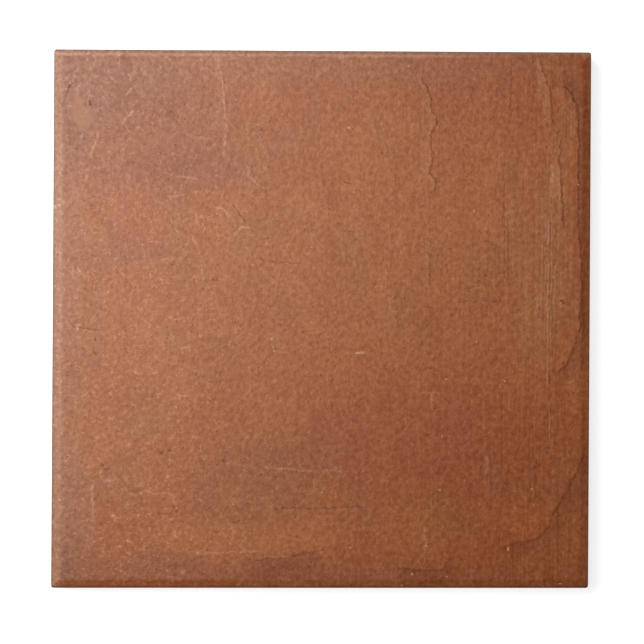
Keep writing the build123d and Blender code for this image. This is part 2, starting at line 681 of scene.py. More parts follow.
    def hairlines(self, place: Wire, size: float, width: float, shift: float) -> Wire:
        """Add thin wandering lines, broken into short ones.

        Args:
            place: The coordinates.
            size: About how far apart the lines are.
            width: How wide a line is, as a share of that.
            shift: How far the pattern is moved.

        Returns:
            1 on a line and 0 off it.
        """
        level = self.math("ABSOLUTE", self.noise(place, size, 1.0, 0.5, shift) - 0.5)
        broken = self.ease(self.noise(place, size * 0.6, 1.0, 0.5, shift + 3.3), 0.55, 0.61)
        return self.fade(level, width * 0.3, width) * broken

    def stretched(self, place: Wire, along: float) -> Wire:
        """Stretch a pattern along the ribbon."""
        return self.vector("MULTIPLY", place, (1.0, 1 / along, 1.0))


class GeometryBench(Bench):
    """Places nodes in a Geometry Nodes tree whose inputs have names."""

    def __init__(self, name: str, inputs: Mapping[str, str], material: bpy.types.Material) -> None:
        """Make the tree.

        Args:
            name: The tree's name.
            inputs: Each input's name and the kind of its socket.
            material: What the tree's geometry is dressed in.
        """
        super().__init__(bpy.data.node_groups.new(name, "GeometryNodeTree"))
        self.material = material
        self.identifiers: dict[str, str] = {}
        for label, kind in {"Geometry": "Geometry", **inputs}.items():
            item = self.tree.interface.new_socket(label, in_out="INPUT", socket_type="NodeSocket" + kind)
            self.identifiers[label] = item.identifier
        self.tree.interface.new_socket("Geometry", in_out="OUTPUT", socket_type="NodeSocketGeometry")
        self.given = self.node("NodeGroupInput")
        self.place = self.node("GeometryNodeInputPosition").out()

    def source(self, label: str) -> Wire:
        """Give the geometry of the object that an input names."""
        return self.node("GeometryNodeObjectInfo", {}, {"Object": self.given.out(label)}).out("Geometry")

    def moved(self, geometry: Wire, offset: Wire) -> Wire:
        """Move the points of a geometry."""
        return self.node("GeometryNodeSetPosition", {}, {"Geometry": geometry, "Offset": offset}).out()

    def kept(self, name: str, kind: str) -> Wire:
        """Read a named attribute."""
        settings = {"data_type": kind}
        return self.node("GeometryNodeInputNamedAttribute", settings, {"Name": name}).out("Attribute")

    def keeping(self, geometry: Wire, kind: str, name: Any, value: Wire) -> Wire:
        """Store a named attribute on a geometry's points.

        Args:
            geometry: The geometry.
            kind: The attribute's type.
            name: The attribute's name, or a wire that gives it.
            value: What is stored.

        Returns:
            The geometry with the attribute.
        """
        settings = {"data_type": kind, "domain": "POINT"}
        inputs = {"Geometry": geometry, "Name": name, "Value": value}
        return self.node("GeometryNodeStoreNamedAttribute", settings, inputs).out()

    def real(self, geometry: Wire) -> Wire:
        """Make instances real."""
        return self.node("GeometryNodeRealizeInstances", {}, {"Geometry": geometry}).out()

    def finish(self, geometry: Wire) -> None:
        """End the tree: instances are made real and dressed.

        Args:
            geometry: What the tree has made.
        """
        inputs = {"Geometry": self.real(geometry), "Material": self.material}
        dressed = self.node("GeometryNodeSetMaterial", {}, inputs).out()
        self.node("NodeGroupOutput", {}, {"Geometry": dressed})

    def attach(self, piece: bpy.types.Object, values: Mapping[str, Any]) -> None:
        """Put the tree on a piece as a modifier.

        Args:
            piece: The object that gets the modifier.
            values: A value for each named input.
        """
        modifier = piece.modifiers.new(self.tree.name, "NODES")
        modifier.node_group = self.tree
        for label, value in values.items():
            modifier[self.identifiers[label]] = value


def settled(piece: bpy.types.Object) -> bpy.types.Object:
    """Turn a piece's modifiers into plain mesh.

    Args:
        piece: The object with the modifiers.

    Returns:
        The same object without them.
    """
    graph = bpy.context.evaluated_depsgraph_get()
    plain = bpy.data.meshes.new_from_object(
        piece.evaluated_get(graph), preserve_all_data_layers=True, depsgraph=graph
    )
    piece.modifiers.clear()
    unmodified, piece.data = piece.data, plain
    plain.name = piece.name
    bpy.data.meshes.remove(unmodified)
    return piece


def shown(name: str, data: Any) -> bpy.types.Object:
    """Add an object to the scene.

    Args:
        name: The object's name.
        data: Its mesh, curve, camera or light.

    Returns:
        The object.
    """
    piece = bpy.data.objects.new(name, data)
    bpy.context.scene.collection.objects.link(piece)
    return piece


class LayTree(GeometryBench):
    """Lays the face a little low, swelling and dragged along the ribbon, and makes the sides wavy."""

    def __init__(self, form: TileForm, material: bpy.types.Material) -> None:
        """Build the tree.

        Args:
            form: The slab's sizes.
            material: The body's finish.
        """
        labels = ("Drop", "Swell", "Streak", "Side Wave")
        super().__init__("lay_of_the_face", dict.fromkeys(labels, "Float"), material)
        drop, swell, streak, side_wave = (self.given.out(label) for label in labels)
        place = self.place
        x, _, z = self.split(place)
        top = self.topmost(z, form, 2.6, 0.6)
        wide = self.ease(self.noise(place, 0.075, 1.0), 0.30, 0.70)
        lumps = self.ease(self.noise(place, 0.016, 2.0, shift=3.1), 0.25, 0.75)
        drags = self.ease(self.noise(self.stretched(place, 22.0), 0.0042, 2.0, 0.6, shift=5.7), 0.25, 0.75)
        combed = self.band(x, 0.095, 0.118, 0.140, 0.146) * 0.8 + 0.2
        low = drop + swell * (wide * 0.7 + lumps * 0.3) + streak * drags * combed
        side = self.band(z, 4.2 * MM, 6.5 * MM, 15.0 * MM, 17.2 * MM)
        wave = self.ease(self.noise(place, 0.022, 3.0, 0.6, shift=9.3), 0.3, 0.8)
        normal = self.node("GeometryNodeInputNormal").out()
        inward = self.scaled(self.vector("MULTIPLY", normal, (-1.0, -1.0, 0.0)), side_wave * wave * side)
        down = self.joined(0.0, 0.0, low * top * -1.0)
        self.finish(self.moved(self.given.out("Geometry"), self.vector("ADD", inward, down)))


class MarkTree(GeometryBench):
    """Presses one kind of mark into the face.

    Each point of the face finds the nearest point of the marks' paths. The tree keeps, under the
    kind's name, how far left of the path it lies, how far away and how strong the mark is there.
    """

    def __init__(self, form: TileForm, material: bpy.types.Material) -> None:
        """Build the tree.

        Args:
            form: The slab's sizes.
            material: The body's finish.
        """
        sizes = dict.fromkeys([*Relief().pressed(), "Spacing"], "Float")
        super().__init__("press_marks", {"Paths": "Object", "Name": "String", **sizes}, material)
        given = {label: self.given.out(label) for label in ("Geometry", "Name", *sizes)}
        points, heading = self.path_points(given["Spacing"], given["Taper"])
        swirl = self.swirl(self.place, 0.0042, 3.0, 0.6, shift=17.0)
        shaken = self.vector("ADD", self.place, self.scaled(swirl, given["Wobble"]))
        flat = self.vector("MULTIPLY", shaken, (1.0, 1.0, 0.0))
        seek = {"Geometry": points, "Sample Position": flat}
        nearest = self.node("GeometryNodeSampleNearest", {}, seek).out()
        away = self.vector("SUBTRACT", flat, self.sampled("FLOAT_VECTOR", points, self.place, nearest))
        ahead = self.sampled("FLOAT_VECTOR", points, heading, nearest)
        strength = self.sampled("FLOAT", points, self.kept("strength", "FLOAT"), nearest)
        left = self.split(self.vector("CROSS_PRODUCT", ahead, away))[2]
        gap = self.vector("LENGTH", away, part="Value")
        raised = self.math("EXPONENT", self.math("MINIMUM", left, 0.0) / given["Soft"])
        raised = raised * self.fade(left, 0.0, given["Steep"])
        raised = raised * self.fade(gap, given["Reach"] * 0.4, given["Reach"])
        share = gap / given["Groove"]
        trench = self.math("EXPONENT", share * share * -1.0)
        top = self.topmost(self.split(self.place)[2], form, 2.6, 1.4)
        rise = top * strength * (given["Lift"] * raised - given["Trench"] * trench)
        pressed = self.moved(given["Geometry"], self.joined(0.0, 0.0, rise))
        self.finish(self.keeping(pressed, "FLOAT_VECTOR", given["Name"], self.joined(left, gap, strength)))

    def path_points(self, spacing: Wire, taper: Wire) -> tuple[Wire, Wire]:
        """Turn the paths into close points.

        Args:
            spacing: How far apart the points are.
            taper: How long a mark takes to reach its strength at both ends.

        Returns:
            The points, which carry the mark's strength, and the way that the path runs at each.
        """
        curve = {"Curve": self.source("Paths"), "Length": spacing}
        even = self.node("GeometryNodeResampleCurve", {"mode": "LENGTH"}, curve).out()
        run = self.node("GeometryNodeSplineParameter").out("Length")
        whole = self.node("GeometryNodeSplineLength").out("Length")
        ends = self.math("MINIMUM", run, whole - run) + 0.00001
        strength = self.node("GeometryNodeInputRadius").out() * self.ease(ends, 0.0, taper, 0.15)
        strong = self.keeping(even, "FLOAT", "strength", strength)
        points = self.node("GeometryNodeCurveToPoints", {"mode": "EVALUATED"}, {"Curve": strong})
        return points.out("Points"), points.out("Tangent")

    def sampled(self, kind: str, points: Wire, value: Wire, index: Wire) -> Wire:
        """Read a value at one of the points."""
        inputs = {"Geometry": points, "Value": value, "Index": index}
        return self.node("GeometryNodeSampleIndex", {"data_type": kind, "domain": "POINT"}, inputs).out()


class GrainTree(GeometryBench):
    """Beds grains of grog in the face: some at their own places, and many small ones at random."""

    level_slope = 0.93
    segments = 8
    rings = 5
    sunk = 0.55
    oblong = (0.9, 1.7)
    squat = 0.5
    strewn_turn = 0.6
    placed_turn = 0.25
    crumb_size = 0.7 * MM
    crumb_height = 0.35 * MM

    def __init__(self, material: bpy.types.Material) -> None:
        """Build the tree.

        Args:
            material: The grog's finish.
        """
        sizes = dict.fromkeys(("Density", "Smallest", "Largest"), "Float")
        super().__init__("bedded_grog", {"Face": "Object", **sizes, "Seed": "Int"}, material)
        given = {label: self.given.out(label) for label in ("Density", "Seed")}
        slope = self.split(self.node("GeometryNodeInputNormal").out())[2]
        given["Mesh"] = self.source("Face")
        given["Selection"] = self.math("GREATER_THAN", slope, self.level_slope)
        loose = self.node("GeometryNodeDistributePointsOnFaces", {}, given).out("Points")
        size = self.random(self.given.out("Smallest"), self.given.out("Largest"), 3)
        extent = self.joined(size * self.random(*self.oblong, 4), size, size * self.squat)
        sown = self.bedded(loose, extent, self.strewn_turn)
        seats = {"Mesh": self.given.out("Geometry")}
        placed = self.node("GeometryNodeMeshToPoints", {}, seats).out()
        told = self.bedded(placed, self.kept("extent", "FLOAT_VECTOR"), self.placed_turn)
        self.finish(self.node("GeometryNodeJoinGeometry", {}, {"Geometry": [sown, told]}).out())

    def random(self, low: Amount, high: Amount, seed: int) -> Wire:
        """Give each point its own number between two."""
        inputs = {"Min": low, "Max": high, "Seed": seed}
        return self.node("FunctionNodeRandomValue", {"data_type": "FLOAT"}, inputs).out(1)

    def bedded(self, points: Wire, size: Wire, turn: float) -> Wire:
        """Put a sunk and roughened grain at each point.

        Args:
            points: Where the grains go.
            size: Half of each grain's extent.
            turn: The most that a grain is turned about the upright, in radians.

        Returns:
            The grains, made real.
        """
        ball = self.node("GeometryNodeMeshUVSphere", {}, {"Segments": self.segments, "Rings": self.rings})
        smooth = self.node("GeometryNodeSetShadeSmooth", {}, {"Geometry": ball.out("Mesh")}).out()
        seats = self.moved(points, self.joined(0.0, 0.0, self.split(size)[2] * -self.sunk))
        turned = self.joined(0.0, 0.0, self.random(-turn, turn, 7))
        grains = {"Points": seats, "Instance": smooth, "Rotation": turned, "Scale": size}
        real = self.real(self.node("GeometryNodeInstanceOnPoints", {}, grains).out())
        return self.moved(real, self.scaled(self.swirl(self.place, self.crumb_size, 1.0), self.crumb_height))


@dataclass(frozen=True)
class Stain:
    """A soft patch of another tone: its middle and half extents in millimetres, its strength and turn."""

    tone: Tone
    across: float
    down: float
    half_width: float
    half_height: float
    strength: float = 0.5
    turn: float = 0.0
    soft: float = 0.6


BARE_SPOT = Stain(Tone.BARE, 15.9, 36.2, 5.6, 8.8, 0.66, turn=0.15, soft=0.24)

STAINS: list[Stain] = [
    Stain(Tone.SHADE, 22, 16, 40, 28, 0.50),
    Stain(Tone.SHADE, 8, 56, 10, 14, 0.26),
    Stain(Tone.UMBER, 56, 50, 58, 26, 0.34),
    Stain(Tone.GREY, 150, 6, 100, 12, 0.25),
    Stain(Tone.RED, 258, 18, 60, 26, 0.34),
    Stain(Tone.GREY, 0, 150, 15, 150, 0.26),
    Stain(Tone.GREY, 9, 266, 13, 38, 0.24),
    Stain(Tone.SOOT, 10, 272, 9, 22, 0.08),
    BARE_SPOT,
    Stain(Tone.SHADE, 16.5, 49.5, 5, 3, 0.35),
    Stain(Tone.OCHRE, 182, 80, 48, 46, 0.32),
    Stain(Tone.OCHRE, 92, 105, 34, 26, 0.38),
    Stain(Tone.OCHRE, 172, 176, 36, 26, 0.20),
    Stain(Tone.UMBER, 196, 150, 16, 16, 0.20),
    Stain(Tone.RUST, 214, 210, 90, 40, 0.34),
    Stain(Tone.MAROON, 240, 250, 78, 54, 0.42),
    Stain(Tone.UMBER, 122, 240, 42, 24, 0.38, turn=0.5),
    Stain(Tone.ORANGE, 261, 261, 21, 11, 0.26),
    Stain(Tone.RUST, 190, 290, 150, 16, 0.45),
    Stain(Tone.TAN, 85, 273, 34, 10, 0.48, soft=0.45),
    Stain(Tone.TAN, 135, 273, 24, 8, 0.36, soft=0.45),
    Stain(Tone.MAROON, 129, 290, 20, 5, 0.36),
    Stain(Tone.OCHRE, 206, 267, 15, 22, 0.30),
    Stain(Tone.RED, 157, 83, 8, 4, 0.4),
    Stain(Tone.PURPLE, 70, 66, 44, 9, 0.24),
    Stain(Tone.TAN, 120, 165, 18, 12, 0.25),
    Stain(Tone.TAN, 50, 160, 34, 40, 0.34),
    Stain(Tone.RED, 190, 205, 52, 24, 0.20, turn=0.3),
    Stain(Tone.PURPLE, 62, 285, 18, 8, 0.28),
    Stain(Tone.SOOT, 6, 288, 6, 10, 0.30),
    # Darker towards the bottom edge.
    Stain(Tone.SOOT, 130, 308, 190, 22, 0.28),
    Stain(Tone.BUFF, 268, 122, 18, 44, 0.26),
    Stain(Tone.BUFF, 277.5, 122, 3.6, 42, 0.45, soft=0.5),
    Stain(Tone.RED, 292.2, 105, 2.6, 42, 0.5, soft=0.5),
    Stain(Tone.BURNT, 295.4, 105, 1.1, 130, 0.34, soft=0.5),
    Stain(Tone.DUST, 279.4, 73, 3.0, 10, 0.20, soft=0.2),
    Stain(Tone.RED, 60, 298, 70, 4, 0.40),
    Stain(Tone.DUST, 272.5, 18, 3.0, 18, 0.12, turn=0.12, soft=0.3),
]


class MaterialBench(Bench):
    """Places nodes in a material that reads the place on the piece."""

    def __init__(self, name: str) -> None:
        """Make the material.

        Args:
            name: The material's name.
        """
        self.material = bpy.data.materials.new(name)
        self.material.use_nodes = True
        self.material.node_tree.nodes.clear()
        super().__init__(self.material.node_tree)
        self.place = self.node("ShaderNodeTexCoord").out("Object")

    def bumped(self, height: Wire) -> Wire:
        """Turn a height in millimetres into a normal."""
        return self.node("ShaderNodeBump", {}, {"Strength": 1.0, "Distance": MM, "Height": height}).out()

    def shaded(self, inputs: Mapping[str, Any]) -> None:
        """End the material with one shader."""
        shader = self.node("ShaderNodeBsdfPrincipled", {}, inputs).out()
        self.node("ShaderNodeOutputMaterial", {}, {"Surface": shader})


class ClayBench(MaterialBench):
    """Places the nodes that colour and roughen the fired clay."""

    screen_gamma = 2.2
    paler = (1.0, 1.08, 1.32)
    darkest = (0.02, 0.02, 0.02)

    def __init__(self, form: TileForm) -> None:
        """Make the material, and read what several of its parts need.

        Args:
            form: The slab's sizes.
        """
        super().__init__("fired_clay")
        self.form = form
        self.x, self.y, self.z = self.split(self.place)
        self.marks = {kind: self.split(self.told(kind)) for kind in MarkKind}
        self.wear = self.ease(self.noise(self.place, 0.0022, 2.0, 0.6, 12.0), 0.38, 0.58, 0.25, 1.0)
        self.pale_specks = self.specks(self.place, 0.0052, 0.00075, 0.25, 0.11)
        self.dark_specks = self.specks(self.place, 0.0047, 0.00070, 0.42, 0.23)
        self.hollow = self.hollows()
        self.drags = self.side_drags()
        self.torn = self.fade(self.noise(self.place, 0.0032, 2.0, 0.55, 24.0), 0.29, 0.35)

    def told(self, kind: MarkKind) -> Wire:
        """Read how far left of a kind of mark each point lies, how far away, and how strong the mark is."""
        return self.node("ShaderNodeAttribute", {"attribute_name": kind.value}).out("Vector")

    def fine(self, size: float, along: float, shift: float, detail: float = 1.0, rough: float = 0.5) -> Wire:
        """Give a fine noise about zero, stretched along the ribbon."""
        return self.noise(self.stretched(self.place, along), size, detail, rough, shift) - 0.5

    def face_colour(self) -> Wire:
        """Colour the face: its clouds and stains, then the painted sheen, highlight and shade of its rim,
        and its grain, then its marks, with painted shade and highlight along them.

        Returns:
            The face's colour.
        """
        warped = self.vector("ADD", self.place, self.scaled(self.swirl(self.place, 0.016, 3.0, 0.6), 0.011))
        dragged = self.stretched(warped, 2.0)
        clouds = self.ease(self.noise(dragged, 0.032, 4.0, 0.6, 1.3), 0.36, 0.64)
        shade = self.ease(self.noise(dragged, 0.024, 4.0, 0.6, 4.1), 0.42, 0.66)
        colour = self.mixed(clouds * 0.45, Tone.CLAY, Tone.TAN)
        colour = self.mixed(shade * 0.25, colour, Tone.PURPLE)
        for stain in STAINS:
            colour = self.mixed(self.stain_share(warped, stain), colour, stain.tone)
        return self.marked_colour(self.rim_colour(warped, colour))

    def stain_share(self, place: Wire, stain: Stain) -> Wire:
        """Give how much of a stain there is at a place.

        Args:
            place: The place, shaken so that the stain's outline wanders.
            stain: The stain.

        Returns:
            The stain's strength inside it, and 0 outside it.
        """
        middle = (*self.form.on_face((stain.across, stain.down)), 0.0)
        extent = (stain.half_width * MM, stain.half_height * MM, 1.0)
        inputs = {"Vector": place, "Location": middle, "Rotation": (0.0, 0.0, stain.turn), "Scale": extent}
        local = self.node("ShaderNodeMapping", {"vector_type": "TEXTURE"}, inputs).out()
        far = self.vector("LENGTH", self.vector("MULTIPLY", local, (1.0, 1.0, 0.0)), part="Value")
        return self.ease(far, 1.0 - stain.soft, 1.0 + stain.soft, stain.strength, 0.0)

    def grain(self) -> Wire:
        """Give how much paler than its surroundings each point of the face is.

        Returns:
            The change on a scale on which 1 is the step from black to white.
        """
        mottle = self.fine(0.0080, 1.4, 6.6, 2.0)
        fleck = self.fine(0.0023, 1.15, 7.7)
        grit = self.fine(0.0012, 1.1, 8.8)
        drags = self.fine(0.0016, 34.0, 9.9, 2.0, 0.6)
        combed = self.band(self.x, 0.085, 0.118, 0.138, 0.143) * 0.7
        combed = combed + self.ease(self.x, -0.02, 0.07) * 0.34 + 0.20
        upper_left = self.fade(self.x, -0.100, 0.010)
        coarse = self.fade(self.x - self.y, -0.275, -0.150) * 0.3 + 0.92
        specks = self.pale_specks * (upper_left * 0.05 + 0.05) - self.dark_specks * 0.075
        lines = self.hairlines(self.place, 0.0075, 0.026, 14.0) * (upper_left * 0.065 + 0.015)
        lines = lines + self.hairlines(self.place, 0.0036, 0.055, 19.0) * (upper_left * 0.035 + 0.030)
        change = (fleck * 0.18 + grit * 0.085) * coarse + mottle * 0.025 + drags * combed * 0.12
        return change + specks + lines - 0.005

    def grained(self, colour: Wire, change: Wire) -> Wire:
        """Make a colour paler and greyer, or darker, by even steps as the eye sees them.

        Args:
            colour: The colour.
            change: How much paler it becomes.

        Returns:
            The changed colour.
        """
        seen = self.node("ShaderNodeGamma", {}, {"Color": colour, "Gamma": 1 / self.screen_gamma}).out()
        step = self.scaled(self.joined(*self.paler), change)
        moved = self.vector("MAXIMUM", self.vector("ADD", seen, step), self.darkest)
        return self.node("ShaderNodeGamma", {}, {"Color": moved, "Gamma": self.screen_gamma}).out()

    def hollows(self) -> Wire:
        """Tell where the clay is cracked or pitted, which is matt and gets the darkest painted shade.

        Returns:
            The mark's strength in the middle of a crack or a pit, and 0 off them.
        """
        _, gap, strength = self.marks[MarkKind.CRACK]
        cracks = self.fade(gap, 0.0001, 0.0007) * strength * self.wear
        _, gap, strength = self.marks[MarkKind.PIT]
        return self.math("MAXIMUM", cracks, self.fade(gap, 0.0002, 0.0012) * strength)

    def marked_colour(self, colour: Wire) -> Wire:
        """Colour the marks: a darker band beyond a slip edge and painted shadow just below it, painted shade
        below a fold or a drag with a painted highlight along its raised side, pale on a scratch, and the
        darkest painted shade in a crack or a pit.

        Args:
            colour: The colour under the marks.

        Returns:
            The colour with the marks on it.
        """
        left, gap, strength = self.marks[MarkKind.EDGE]
        outside = self.ease(left, 0.0, 0.0005) * self.fade(gap, 0.003, 0.013) * strength
        colour = self.mixed(outside * 0.26, colour, Tone.DARK)
        # Painted shadow: a thin dark line just below the slip edge.
        step_shadow = self.band(left, -0.0003, 0.0003, 0.0005, 0.0020) * self.fade(gap, 0.0008, 0.0022)
        colour = self.mixed(step_shadow * strength * self.wear * 0.52, colour, Tone.HOLLOW)
        left, gap, strength = self.marks[MarkKind.FOLD]
        # Painted shade below the step of a fold.
        dark = self.ease(left, -0.0002, 0.0004) * self.fade(gap, 0.0003, 0.0018) * strength
        colour = self.mixed(dark * self.wear * 0.40, colour, Tone.DARK)
        # Painted highlight along the raised side of a fold.
        pale = self.fade(left, -0.0003, 0.0) * self.fade(gap, 0.0004, 0.0018) * strength
        colour = self.mixed(pale * 0.18, colour, Tone.DUST)
        left, gap, strength = self.marks[MarkKind.DRAG]
        rubbed = self.ease(self.noise(self.stretched(self.place, 5.0), 0.0026, 2.0, 0.6, 13.0), 0.40, 0.60)
        # Painted shade below the step of a drag.
        dark = self.ease(left, -0.0001, 0.0003) * self.fade(gap, 0.0003, 0.0013) * strength
        colour = self.mixed(dark * rubbed * 0.34, colour, Tone.DARK)
        # Painted highlight along the raised side of a drag.
        pale = self.fade(left, -0.0003, 0.0) * self.fade(gap, 0.0004, 0.0014) * strength
        colour = self.mixed(pale * rubbed * 0.44, colour, Tone.DUST)
        _, gap, strength = self.marks[MarkKind.SCRATCH]
        scratched = self.fade(gap, 0.0001, 0.0010) * strength * self.wear
        colour = self.mixed(scratched * 0.68, colour, Tone.DUST)
        # Painted shade, the darkest, in cracks and pits.
        return self.mixed(self.hollow * 0.75, colour, Tone.HOLLOW)

    def rim_colour(self, warped: Wire, colour: Wire) -> Wire:
        """Paint sheen on the rim, pale and grey at the left and the top, which face the lamp, grey on its
        lip there and a painted highlight on the top crease, with a little painted sheen on the bevel at the
        right and the foot; grain the colour, then paint shade on the lip at the right and the foot, which
        face away from the lamp.

        Args:
            warped: The shaken place, by which the bare spot is laid.
            colour: The colour of the clay.

        Returns:
            The grained colour, with painted sheen, highlight and shade on the rim.
        """
        form, x = self.form, self.x
        from_left, from_right = x + form.width / 2, form.width / 2 - x
        from_top, from_foot = form.square_end - self.y, self.y - form.skewed_end(x)
        ragged = self.noise(self.place, 0.004, 2.0, 0.6, 15.0) * 0.0016
        # A little painted sheen, grey, on the bevel at the right and the foot.
        plain = self.fade(self.math("MINIMUM", from_right, from_foot) + ragged, 0.0032, 0.0056)
        colour = self.mixed(plain * 0.14, colour, Tone.WORN)
        # Painted sheen, pale and grey, on the rim at the left and the top, which face the lamp.
        left = self.fade(from_left + ragged, 0.0040, 0.0080) * self.ease(from_top, 0.0, 0.09, 0.55, 0.85)
        upper = self.fade(from_top + ragged, 0.0036, 0.0056) * self.ease(x, 0.04, 0.13, 1.0, 0.2)
        colour = self.mixed(self.math("MAXIMUM", left, upper), colour, Tone.WORN)
        # Painted highlight on the crease of the top rim.
        crest_highlight = self.ease(from_top, 0.0014, 0.0024) * self.fade(from_top + ragged, 0.0034, 0.0050)
        colour = self.mixed(crest_highlight * self.fade(x, 0.0, 0.12) * 0.32, colour, Tone.CHALK)
        # Painted sheen, grey, on the lip at the left and the top.
        lip = self.fade(self.math("MINIMUM", from_left, from_top * 0.85) + ragged * 0.5, 0.0012, 0.0027)
        colour = self.mixed(lip * 0.85, colour, Tone.ASH)
        smooth = self.stain_share(warped, BARE_SPOT) * 1.1
        colour = self.grained(colour, self.grain() * (1 - smooth))
        # Painted shade on the lip at the right and the foot, which face away from the lamp.
        right = self.fade(from_right + ragged, 0.0007, 0.0020) * 0.42
        foot = self.fade(from_foot + ragged, 0.0011, 0.0028) * 0.62
        return self.mixed(self.math("MAXIMUM", right, foot), colour, Tone.CHAR)

    def side_drags(self) -> Wire:
        """Give the drags of the die along the ribbon, and those of the wire down the two cut ends.

        Returns:
            A noise, which is about 0.5.
        """
        half = self.form.length / 2
        ends = self.ease(self.math("ABSOLUTE", self.y), half - 1.5 * MM, half - 0.8 * MM)
        along = self.noise(self.stretched(self.place, 14.0), 0.0030, 3.0, 0.6, 33.0)
        upright = self.vector("MULTIPLY", self.place, (1.0, 1.0, 0.10))
        return along * (1 - ends) + self.noise(upright, 0.0026, 3.0, 0.6, 35.0) * ends

    def body_colour(self) -> Wire:
        """Colour the sides and the back: the bare clay, with paler scum, darker drags and torn holes.

        Returns:
            The body's colour.
        """
        clouds = self.ease(self.noise(self.place, 0.018, 4.0, 0.6, 21.0), 0.35, 0.65)
        scum = self.ease(self.noise(self.place, 0.011, 4.0, 0.65, 22.0), 0.48, 0.68)
        grit = self.noise(self.place, 0.0013, 2.0, 0.6, 23.0) - 0.5
        colour = self.mixed(clouds * 0.7, Tone.CLAY, Tone.TAN)
        colour = self.mixed(self.ease(self.drags, 0.35, 0.65) * 0.40, colour, Tone.RED)
        colour = self.mixed(scum * 0.35, colour, Tone.BUFF)
        colour = self.mixed(self.torn * 0.6, colour, Tone.DARK)
        return self.scaled(colour, grit * 1.1 + 1.0)

    def face_height(self) -> Wire:
        """Give the fine relief of the face in millimetres."""
        flecks = self.fine(0.0026, 1.2, 31.0) * 0.14 + self.fine(0.0014, 1.2, 32.0) * 0.065
        return flecks + self.pale_specks * 0.04 - self.dark_specks * 0.07

    def body_height(self) -> Wire:
        """Give the fine relief of the sides and the back in millimetres."""
        grit = self.noise(self.place, 0.0010, 3.0, 0.65, 34.0) - 0.5
        return (self.drags - 0.5) * 0.6 + grit * 0.25 - self.torn * 0.4


@dataclass(frozen=True)
class FiredClay:
    """The body's finish: mottled, marked and satin on the face, plain and matt on the sides and the back."""

    form: TileForm
    face_roughness: float = 0.45
    side_roughness: float = 0.85
    hollow_roughness: float = 0.4

    def material(self) -> bpy.types.Material:
        """Make the material.

        Returns:
            The body's material.
        """
        bench = ClayBench(self.form)
        face = bench.topmost(bench.z, self.form, 3.2, 1.9)
        polish = bench.ease(bench.noise(bench.place, 0.016, 2.0, 0.6, 2.2), 0.3, 0.7, -0.025, 0.03)
        polish = polish + bench.hollow * self.hollow_roughness + self.face_roughness
        height = bench.face_height() * face + bench.body_height() * (1 - face)
        bench.shaded({
            "Base Color": bench.mixed(face, bench.body_colour(), bench.face_colour()),
            "Roughness": polish * face + self.side_roughness * (1 - face),
            "Normal": bench.bumped(height),
        })
        return bench.material


@dataclass(frozen=True)
class GrogFinish:
    """The finish of the crushed fired clay that shows as pale grains."""

    roughness: float = 0.7
    bump: float = 0.05

    def material(self) -> bpy.types.Material:
        """Make the material.

        Returns:
            The grains' material.
        """
        bench = MaterialBench("grog")
        kind = bench.ease(bench.noise(bench.place, 0.006, 2.0, 0.6, 41.0), 0.35, 0.65)
        grit = bench.noise(bench.place, 0.0005, 2.0, 0.6, 42.0)
        colour = bench.scaled(bench.mixed(kind, Tone.GROG, Tone.PALE_GROG), (grit - 0.5) * 0.5 + 1.0)
        normal = bench.bumped(grit * self.bump)
        bench.shaded({"Base Color": colour, "Roughness": self.roughness, "Normal": normal})
        return bench.material


